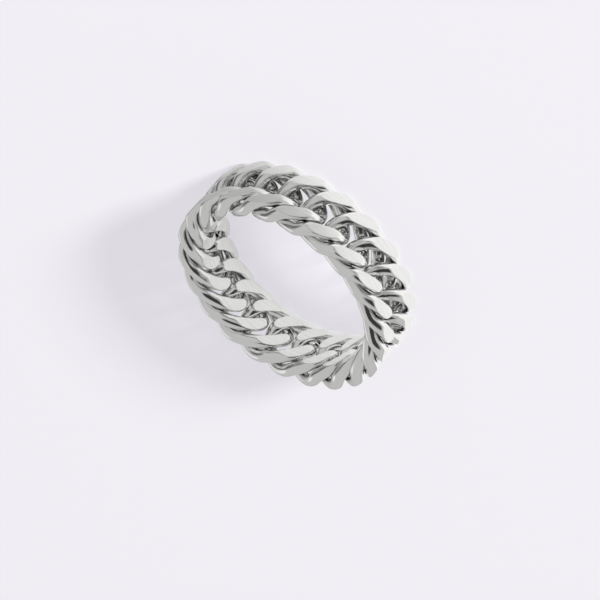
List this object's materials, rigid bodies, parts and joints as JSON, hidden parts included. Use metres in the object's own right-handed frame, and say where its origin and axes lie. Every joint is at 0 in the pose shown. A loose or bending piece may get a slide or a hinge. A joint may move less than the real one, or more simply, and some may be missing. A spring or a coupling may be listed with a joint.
{
  "type": "chain link ring",
  "caption": "Finger ring made of interlocked, twisted wire links that run right round the finger, filed flat on the inner and outer wall.",
  "frame": {"origin": "middle of the circle that the ring rests on, at its lowest point, lying on its side", "axes": "+Z along the finger's axis, up out of the surface; +X through the middle of link_01"},
  "size_m": [0.0236, 0.0236, 0.0066],
  "materials": {
    "polished_silver": "rhodium-plated sterling silver, mirror polished, flats filed and buffed"
  },
  "bodies": {
    "root": {"link_01": "polished_silver", "link_02": "polished_silver", "link_03": "polished_silver", "link_04": "polished_silver", "link_05": "polished_silver", "link_06": "polished_silver", "link_07": "polished_silver", "link_08": "polished_silver", "link_09": "polished_silver", "link_10": "polished_silver", "link_11": "polished_silver", "link_12": "polished_silver", "link_13": "polished_silver", "link_14": "polished_silver", "link_15": "polished_silver", "link_16": "polished_silver", "link_17": "polished_silver", "link_18": "polished_silver", "link_19": "polished_silver", "link_20": "polished_silver", "link_21": "polished_silver", "link_22": "polished_silver"}
  },
  "joints": []
}
